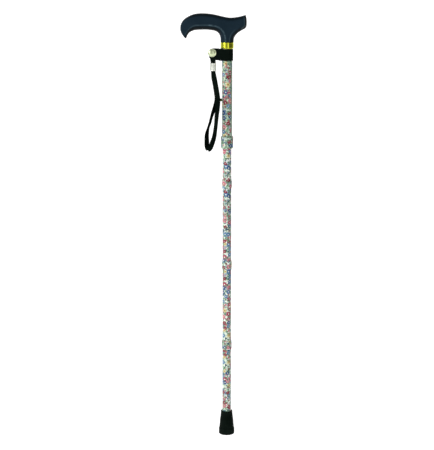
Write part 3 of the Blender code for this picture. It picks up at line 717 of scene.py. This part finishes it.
def make_snap():
    """The press stud's cap, with a rolled rim round a shallow dome, and its post."""
    low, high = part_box("snap_cap")
    radius = (high.z - low.z) / 2
    face = SNAP.y - low.y
    back = SNAP.y - high.y
    seat = face - 3.0 * MM
    post, rim = 2 * MM, 0.85 * MM
    dome_r, dome_z, dome_rise = radius - 2.4 * MM, seat + 1.75 * MM, 1.25 * MM
    profile = [(0, back), (post - 0.3 * MM, back), (post, back + 0.3 * MM), (post, seat),
               (radius - 0.9 * MM, seat), *arc(radius - rim, seat + rim, rim, -70, 110, 10),
               (radius - 1.7 * MM, seat + 1.35 * MM), (dome_r, dome_z)]
    dome = [dome_r * (1 - k / 8) for k in range(1, 9)]
    profile += [(r, dome_z + dome_rise * (1 - (r / dome_r) ** 2)) for r in dome]
    add_piece("snap_cap_shown", turned(profile, 80), pale_brass, "keeper_band", "snap_cap", place=SNAP,
              turn=FACING)


def make_crimp():
    """A folded metal sleeve, pinched front and back, with rolled mouths and a join behind."""
    radius = CRIMP_HIGH.x - CRIMP_X
    bottom, top = CRIMP_LOW.z, CRIMP_HIGH.z
    middle = (bottom + top) / 2
    inner = radius - 0.9 * MM
    mouth = 0.45 * MM
    wall = [(radius - 0.10 * MM, z) for z in np.linspace(bottom + 1.4 * MM, top - 1.4 * MM, 22)]
    profile = [(inner, bottom + 0.1 * MM), *arc(radius - mouth, bottom + mouth, mouth, -90, 0, 5), *wall,
               *arc(radius - mouth, top - mouth, mouth, 0, 90, 5), (inner, top - 0.1 * MM)]

    def pinch(r, z, a):
        """A flat pressed on the front and the back, waisted a little, and a fine join behind."""
        if r < inner + GAP:
            return r
        for at in (math.radians(-80), math.radians(100)):
            facing = math.cos(a - at)
            if facing > 0.5:
                r = min(r, 0.82 * radius / facing)
        r -= 0.12 * MM * math.exp(-((z - middle) / (5.0 * MM)) ** 2)
        return r - 0.22 * MM * math.exp(-(math.remainder(a - 2.6, TAU) * radius / (0.3 * MM)) ** 2)

    add_piece("crimp_sleeve_shown", turned(profile, 140, pinch), chrome, "wrist_strap", "crimp_sleeve",
              place=(CRIMP_X, SNAP.y, 0))


# ---- handle

# the side outline, x and z in millimetres
HANDLE_TOP = [(38.6, 923.2), (35.1, 922.5), (28.8, 920.7), (20.2, 919.0), (11.7, 918.1), (5.0, 918.0),
              (-1.1, 918.7), (-13.8, 921.4), (-22.4, 923.5), (-30.9, 925.2), (-39.4, 926.3), (-47.9, 926.9),
              (-56.4, 927.0), (-67.1, 925.9), (-77.7, 922.6), (-86.3, 917.9), (-93.7, 911.6), (-98.2, 903.0),
              (-99.1, 894.0), (-97.3, 886.7), (-93.5, 880.3), (-89.0, 874.8)]
HANDLE_BELLY = [(-89.0, 874.8), (-87.2, 874.7), (-85.7, 876.6), (-84.0, 881.0), (-81.0, 885.4),
                (-77.7, 888.0), (-73.0, 890.3), (-66.5, 892.0), (-55.9, 892.6), (-47.9, 892.8),
                (-40.5, 892.6), (-30.9, 891.3), (-26.0, 890.4), (-20.9, 887.8), (-17.4, 884.2),
                (-15.3, 880.0), (-14.0, 874.0)]
HANDLE_FRONT = [(13.9, 872.0), (15.2, 876.6), (18.1, 881.3), (22.2, 885.8), (28.6, 890.1), (35.6, 893.9)]
HANDLE_END = [(35.6, 893.9), (38.9, 896.5), (40.8, 900.2), (41.4, 907.4), (40.9, 915.4), (40.0, 920.8),
              (38.6, 923.2)]
# x, z and half thickness of the grip, sampled over its side
HANDLE_GIRTH = [(40, 908, 12.6), (18, 905, 14.0), (-14, 905, 14.6), (-30, 908, 15.4), (-46, 911, 16.0),
                (-64, 910, 15.6), (-78, 905, 14.4), (-87, 898, 12.2), (-91, 890, 9.6), (-92, 884, 7.4),
                (-90, 878, 4.6), (0, 892, 13.9), (0, 880, 13.8), (0, 868, 13.8)]
GIRTH_BLEND = 10.0      # how far each of those samples reaches
NECK_R = 13.78


def distance_to(points, curve):
    """Distance of each point to a polyline."""
    a, b = curve[:-1], curve[1:]
    span = b - a
    t = np.einsum("psk,sk->ps", points[:, None] - a[None], span) / np.einsum("sk,sk->s", span, span)
    foot = a[None] + np.clip(t, 0, 1)[..., None] * span[None]
    return np.linalg.norm(points[:, None] - foot, axis=2).min(axis=1)


def roll(depth, width, crease):
    """Height of a rolled edge, from 0 at the outline to 1 at its full width."""
    t = np.clip(depth / width, 0, 1)
    return (1 - crease) * np.sqrt(1 - (1 - t) ** 2) + crease * t


def make_handle():
    """The side outline filled with points and thickened, so the flat side rolls over at its edges."""
    base = NECK_BASE / MM
    belly = HANDLE_BELLY + [(-NECK_R, base)]
    front = [(NECK_R, base)] + HANDLE_FRONT
    top, left, right, end = (resample(smooth_path(c, 10), 1.0)
                             for c in (HANDLE_TOP, belly, front, HANDLE_END))
    insets = [0.12, 0.45, 1.0, 1.75, 2.7, 3.8, 5.0, 6.3, 7.7, 9.2]
    foot = [d - NECK_R for d in insets] + list(np.linspace(-3.6, 3.6, 6)) + [NECK_R - d for d in insets[::-1]]
    sole = np.array([(x, base) for x in foot])
    outline = np.concatenate([top[:-1], left, sole, right[:-1], end[:-1]])
    wall = np.concatenate([right[:-1], end[:-1], top[:-1], left])
    tangent = directions(wall)
    normal = np.stack([-tangent[:, 1], tangent[:, 0]], axis=1)
    inner = []
    for d in insets:
        moved = (wall + normal * d)[1:-1]
        inner.append(moved[(distance_to(moved, wall) > 0.985 * d) & (moved[:, 1] > base + 0.25)])
    step_x, step_z = 1.9, 1.65
    xs, zs = np.meshgrid(np.arange(-100, 42, step_x), np.arange(base + 1.2, 928, step_z))
    xs[1::2] += step_x / 2
    grid = np.stack([xs.ravel(), zs.ravel()], axis=1)
    reach = distance_to(grid, wall)
    grid = grid[reach > insets[-1] + 0.8]
    points = [Vector(p) for p in np.concatenate([outline, *inner, grid])]
    count = len(outline)
    edges = [(i, (i + 1) % count) for i in range(count)]
    flat, _, faces, *_ = delaunay_2d_cdt(points, edges, [], 1, 1e-4)
    flat = np.array([tuple(p) for p in flat])
    x, z = flat[:, 0], flat[:, 1]
    d_top, d_left, d_right, d_end = (distance_to(flat, c) for c in (top, left, right, end))
    girth = np.array(HANDLE_GIRTH)
    apart = (x[:, None] - girth[:, 0]) ** 2 + (z[:, None] - girth[:, 1]) ** 2
    weight = np.exp(-apart / (2 * GIRTH_BLEND ** 2)) + 1e-9
    half = (weight * girth[:, 2]).sum(axis=1) / weight.sum(axis=1)
    beak = 1 - 0.58 * smoothstep(-x, 66, 92)
    belly_roll, front_roll, end_roll = 10 * beak, 9.0, 5.0
    thick = half * roll(d_top, 8.5 * beak, 0.06) * roll(d_left, belly_roll, 0.16)
    thick *= roll(d_right, front_roll, 0.12) * roll(d_end, end_roll, 0.22)
    neck = (1 - smoothstep(z, base, base + 15)) * (np.abs(x) < 20)
    circle = np.sqrt(np.maximum(d_left * d_right, 0))
    thick = thick * (1 - neck) + circle * neck
    on_rim = np.minimum.reduce([d_top, d_left, d_right, d_end]) < 1e-3
    thick[on_rim] = 0
    # a painted highlight where each side rolls over, stored on the vertices for the handle's colour
    highlight_left = np.exp(-((d_left - belly_roll) / 0.9) ** 2) * smoothstep(d_top, 2, 7)
    highlight_end = np.exp(-((d_end - end_roll) / 0.8) ** 2) * 0.5
    highlight_right = np.exp(-((d_right - front_roll) / 0.8) ** 2) * 0.35 * (1 - smoothstep(z, 880, 900))
    painted_highlight = np.clip(highlight_left * (0.35 + 0.65 * smoothstep(x, -80, -30)) + highlight_end + highlight_right, 0, 1)

    bm = bmesh.new()
    layer = bm.verts.layers.float.new("painted_highlight")
    front_verts, back_verts = [], []
    for (px, pz), t, r in zip(flat, thick, painted_highlight):
        near = bm.verts.new((px * MM, -t * MM, pz * MM))
        near[layer] = r
        front_verts.append(near)
        if t < 1e-6:
            back_verts.append(near)
            continue
        far = bm.verts.new((px * MM, t * MM, pz * MM))
        far[layer] = r
        back_verts.append(far)
    for face in faces:
        bm.faces.new([front_verts[i] for i in face])
        bm.faces.new([back_verts[i] for i in reversed(face)])
    bm.edges.ensure_lookup_table()
    bmesh.ops.holes_fill(bm, edges=[e for e in bm.edges if e.is_boundary])
    handle = add_piece("handle_grip", bm, charcoal, "root", "handle", sharp=50)
    stem_r, screw_r = 9.3 * MM, 3.4 * MM
    low = NECK_BASE - 6 * MM
    stem_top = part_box("handle_stem")[1].z + GAP
    screw_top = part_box("handle_screw")[1].z + 1.5 * MM
    drill(handle, link_mesh("handle_bore", turned([
        (0, low), (stem_r, low), (stem_r, stem_top), (screw_r, stem_top), (screw_r, screw_top),
        (0, screw_top)], 48)))


# ---- shaft

def make_tube(node, body, outer, finish):
    """A drawn tube with its cut ends broken."""
    low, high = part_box(node)
    profile = barrel(outer - WALL, outer, low.z, high.z, 0.25 * MM, 3)
    return add_piece(f"{node}_shown", turned(profile), finish, body, node)


def make_tubes():
    """Printed tubes: the upper one with its adjustment holes, the inner one with the button's hole."""
    for number in (1, 2, 3):
        make_tube(f"section_tube_{number}", f"section_{number}", TUBE_R, tube_prints[number])
    inner = make_tube("height_tube", "height_section", TUBE_R, tube_prints[0])
    drill(inner, pins([BUTTON_Z], HOLE_R, -TUBE_R - 2 * MM, -TUBE_R + 4 * MM))
    upper = make_tube("upper_tube", "root", UPPER_R, upper_print)
    heights = [BUTTON_Z + k * HOLE_PITCH for k in (-2, -1, 0, 1, 2)]
    drill(upper, pins(heights, HOLE_R, -UPPER_R - 2 * MM, -UPPER_R + 3 * MM))


def make_locking_collar():
    """The barrel nut over the telescoping joint: two swelling bands with a shallow waist between."""
    low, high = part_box("locking_collar")
    bottom, top, radius, edge = low.z, high.z, radius_of("locking_collar"), 2.6 * MM
    waist = (bottom + top) / 2
    outside = arc(radius - edge, bottom + edge, edge, -62, 0, 8)
    for share in np.linspace(-0.62, 0.62, 15):
        z = waist + share * (top - bottom) / 2
        outside.append((radius - 0.45 * MM * math.exp(-(share / 0.16) ** 2), z))
    outside += arc(radius - edge, top - edge, edge, 0, 62, 8)
    inner_top, inner_bottom, bore = UPPER_R + GAP, TUBE_R + 2 * GAP, 12.6 * MM
    ceiling, shelf = top - 1.8 * MM, bottom + 2.6 * MM
    inside = [(inner_top, top - 0.2 * MM), (inner_top, ceiling), (bore, ceiling), (bore, shelf),
              (inner_bottom, shelf), (inner_bottom, bottom + 0.2 * MM)]
    add_piece("locking_collar_shown", turned(outside + inside), collar_print, "locking_collar",
              "locking_collar")


def make_sleeves():
    """Belled sleeves at the fold joints."""
    for number in (1, 2, 3):
        low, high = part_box(f"joint_sleeve_{number}")
        radius = radius_of(f"joint_sleeve_{number}")
        inner = TUBE_R + GAP
        rim = inner + 0.35 * MM
        swell = [(rim + (radius - rim) * math.sin(math.pi * t) ** 0.55, low.z + (high.z - low.z) * t)
                 for t in np.linspace(0.02, 0.98, 24)]
        profile = [(inner, low.z), (rim, low.z), *swell, (rim, high.z), (inner, high.z)]
        add_piece(f"joint_sleeve_{number}_shown", turned(profile), sleeve_prints[number - 1],
                  f"section_{number}", f"joint_sleeve_{number}")


def make_button():
    """The snap button: a domed pin with a flange inside the tube."""
    low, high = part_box("snap_button")
    tip, root = -low.x, -high.x
    radius, dome, flange, bevel = 3.0 * MM, 1.8 * MM, 3.9 * MM, 0.1 * MM
    seat = root + 0.8 * MM
    profile = [(0, root), (flange - bevel, root), (flange, root + bevel), (flange, seat - bevel),
               (flange - bevel, seat), (radius, seat), (radius, tip - dome),
               *arc(radius - dome, tip - dome, dome, 0, 90, 10)[1:], (0, tip)]
    add_piece("snap_button_shown", turned(profile, 48), dark_brass, "snap_button", "snap_button",
              place=(0, 0, BUTTON_Z), turn=(0, -math.pi / 2, 0))


def make_button_clip():
    """A spring strip bent to a U."""
    low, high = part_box("button_clip")
    thickness, width, step = 0.6 * MM, high.y - low.y, 0.8 * MM
    front, back, top = low.x + thickness / 2, high.x - thickness / 2, high.z
    bend_r = (back - front) / 2
    bend_z = low.z + thickness / 2 + bend_r
    bend = [((front + back) / 2 + bend_r * math.cos(a), bend_z + bend_r * math.sin(a))
            for a in np.linspace(math.pi, TAU, 24)]
    path = resample([(front, top), *bend, (back, top)], step)
    ahead = directions(path)
    bm = bmesh.new()
    rings = []
    for i, (x, z) in enumerate(path):
        at_end = i in (0, len(path) - 1)
        half = width / 2 - (step if at_end else 0)
        ring = []
        for k in range(24):
            a = TAU * k / 24
            u, v = squared(math.cos(a), 0.25) * half, squared(math.sin(a), 0.6) * thickness / 2
            ring.append(bm.verts.new((x + ahead[i][1] * v, u, z - ahead[i][0] * v)))
        rings.append(ring)
    capped(bm, rings)
    clip = add_piece("button_clip_shown", bm, steel, "height_section", "button_clip")
    clip.parent = None
    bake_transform(clip)


def make_brass_collar():
    """A polished ring with rolled edges and a fine turned line near each."""
    low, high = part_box("brass_collar")
    radius = radius_of("brass_collar")

    def groove(at):
        return [(radius, at - 0.25 * MM), (radius - 0.18 * MM, at), (radius, at + 0.25 * MM)]

    lines = groove(low.z + 2.0 * MM) + groove(high.z - 2.0 * MM)
    profile = barrel(UPPER_R + GAP, radius, low.z, high.z, 0.9 * MM, 8, lines)
    add_piece("brass_collar_shown", turned(profile, 128), brass, "root", "brass_collar", sharp=20)


def make_tip():
    """Rubber tip: ringed sole, soft-edged foot, and a sleeve that tapers to a thin lip."""
    foot_r, top = radius_of("ferrule"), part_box("ferrule")[1].z
    foot_top, floor, bore = 14.0 * MM, 14.0 * MM, TUBE_R + GAP
    sole_edge, lip_edge = 2.6 * MM, 1 * MM
    rings = [(0, 0), (5.5, 0), (6.2, 1.5), (7.6, 1.5), (8.3, 0), (10.6, 0), (11.3, 1.5), (12.7, 1.5),
             (13.4, 0)]
    taper = [(16.0, 14.4), (15.8, 19.0), (15.3, 24.0), (14.65, 33.0), (13.4, 42.8), (12.85, 49.0),
             (12.8, 51.6)]
    sole, sleeve = ([(r * MM, z * MM) for r, z in points] for points in (rings, smooth_path(taper, 4)))
    foot = [*arc(foot_r - sole_edge, sole_edge, sole_edge, -90, 0, 8), (foot_r - 0.15 * MM, 8 * MM),
            *arc(foot_r - 1.1 * MM, foot_top - lip_edge, lip_edge, 0, 75, 6)]
    lip = arc(11.8 * MM, top - lip_edge, lip_edge, 0, 90, 6)
    inside = [(bore + 0.5 * MM, top), (bore, top - 0.6 * MM), (bore, floor), (0, floor)]
    add_piece("ferrule_shown", turned(sole + foot + sleeve + lip + inside, 128), rubber, "section_3",
              "ferrule")


def make_elastic_cord():
    """Braided cord inside the shaft, in three lengths."""
    low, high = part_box("elastic_cord")
    radius, knot, tip, row, reach = 2.0 * MM, 4.2 * MM, 1.2 * MM, 1.5 * MM, 45 * MM
    sleeves = [middle_of(f"joint_sleeve_{n}") for n in (1, 2, 3)]
    cuts = [high.z, (sleeves[0] + sleeves[1]) / 2, (sleeves[1] + sleeves[2]) / 2, low.z]
    knots = {0: high.z - knot, 2: low.z + knot}
    bodies = ["height_section", "section_1", "section_2", "section_3"]

    def plait(r, z, a):
        return r + 0.10 * MM * math.sin(6 * a + z / MM * 1.1) * math.sin(6 * a - z / MM * 1.1)

    for n in range(3):
        upper, lower = cuts[n], cuts[n + 1]
        rows = int((upper - lower) / row)
        profile = [(0, lower)]
        for k in range(rows + 1):
            z = lower + (upper - lower) * k / rows
            r = radius + 0.08 * MM * math.sin(k * 1.9)
            if n in knots:
                r = max(r, math.sqrt(max(0.0, knot ** 2 - (z - knots[n]) ** 2)))
            if (n, k) in ((0, rows), (2, 0)):
                r = tip
            profile.append((r, z))
        profile.append((0, upper))
        piece = add_piece(f"elastic_cord_{n + 1}", turned(profile, 24, plait), elastic, bodies[n],
                          "elastic_cord")
        piece.parent = None
        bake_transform(piece)


# ---- stage

FLOOR_DROP = 0.2        # room under the tip for the longest setting, with every fold joint pulled apart
# azimuth in degrees and brightness of the studio that the metal reflects
STRIP_LIGHTS = [(-180, 0.85), (-135, 0.60), (-95, 0.45), (-60, 0.38), (-44, 0.45), (-30, 1.25), (-18, 0.40),
                (-4, 0.22), (6, 0.40), (13, 1.60), (22, 1.60), (30, 0.25), (50, 0.12), (85, 0.14),
                (115, 0.35), (150, 0.75), (180, 0.85)]


def make_stage():
    """A pale floor that runs back and sweeps up into a pale wall."""
    front, sweep_at, sweep_r, wall_top, side = -3.4, 2.4, 1.6, 3.6, 4.5
    sweep = [(sweep_at + sweep_r * math.sin(a), sweep_r - sweep_r * math.cos(a))
             for a in np.linspace(0, math.pi / 2, 24)[1:]]
    profile = [(front, 0.0), (sweep_at, 0.0), *sweep, (sweep_at + sweep_r, wall_top)]
    bm = bmesh.new()
    rows = [[bm.verts.new((x, y, z - FLOOR_DROP)) for x in (-side, side)] for y, z in profile]
    for a, b in zip(rows, rows[1:]):
        bm.faces.new([a[0], a[1], b[1], b[0]])
    floor = link_mesh("floor", bm)
    floor.data.shade_smooth()
    f = Finish("pale_floor", (0.9, 0.9, 0.9), 0.8, Specular_IOR_Level=0.1, Emission_Color=(1, 1, 1, 1),
               Emission_Strength=0.42)
    f.put("Base Color", f.mix(f.span(f.noise(2, 2), 0.3, 0.7), (0.90, 0.90, 0.90), (0.93, 0.93, 0.93)))
    floor.data.materials.append(f.material)


def area_light(name, place, aim, size, power):
    data = bpy.data.lights.new(name, "AREA")
    data.shape = "RECTANGLE"
    data.size, data.size_y = size
    data.energy = power
    light = bpy.data.objects.new(name, data)
    light.location = place
    light.rotation_euler = (Vector(aim) - Vector(place)).to_track_quat("-Z", "Y").to_euler()
    bpy.context.scene.collection.objects.link(light)


def make_world():
    """A white studio that is brighter on the left, with strip lights for the metal to reflect."""
    world = bpy.data.worlds.new("studio")
    world.use_nodes = True
    n = Nodes(world.node_tree)
    x, y, z = n.parts(n.node("ShaderNodeTexCoord").outputs["Generated"])
    azimuth = n.math("ARCTAN2", x, n.times(y, -1.0))
    stops = [(degrees / 360 + 0.5, (level,) * 3) for degrees, level in STRIP_LIGHTS]
    strips = n.ramp(n.plus(n.math("DIVIDE", azimuth, TAU), 0.5), stops, "LINEAR")
    ceiling, ceiling_loss = 0.55, 0.6
    overhead = n.minus(1.0, n.times(n.math("GREATER_THAN", z, ceiling), ceiling_loss))
    glossy = n.times(strips, overhead)
    daylight, from_left = 0.72, -0.66
    diffuse = n.plus(daylight, n.times(x, from_left))
    path = n.node("ShaderNodeLightPath").outputs
    lighting = n.choose(path["Is Glossy Ray"], diffuse, glossy)
    background = n.tree.nodes["Background"].inputs
    n.feed(background["Color"], (1, 1, 1, 1))
    n.feed(background["Strength"], n.choose(path["Is Camera Ray"], lighting, 1.0))
    bpy.context.scene.world = world


def finish_inner_pieces():
    """Materials for the CAD pieces that are shown as they are."""
    finishes = {
        aluminium: ["spigot_1", "spigot_2", "spigot_3"],
        pale_brass: ["snap_stud"],
        chrome: ["snap_socket"],
        steel: ["handle_screw", "ferrule_washer"],
        nylon: ["handle_stem", "threaded_bush", "compression_ring", "guide_bush", "cord_anchor_top",
                "cord_anchor_bottom"],
    }
    for material, nodes in finishes.items():
        for node in nodes:
            for place in frame["nodes"][node].material_slots:
                place.material = material


make_camera()
make_wrist_strap()
make_keeper_band()
make_strap_tab()
make_snap()
make_crimp()
make_handle()
make_brass_collar()
make_tubes()
make_locking_collar()
make_sleeves()
make_button()
make_button_clip()
make_tip()
make_elastic_cord()
finish_inner_pieces()
make_stage()
make_world()
area_light("key", (-2.4, -1.8, 1.5), (0, 0, 0.5), (1.0, 1.6), 34)
bpy.context.scene.view_settings.view_transform = "Standard"
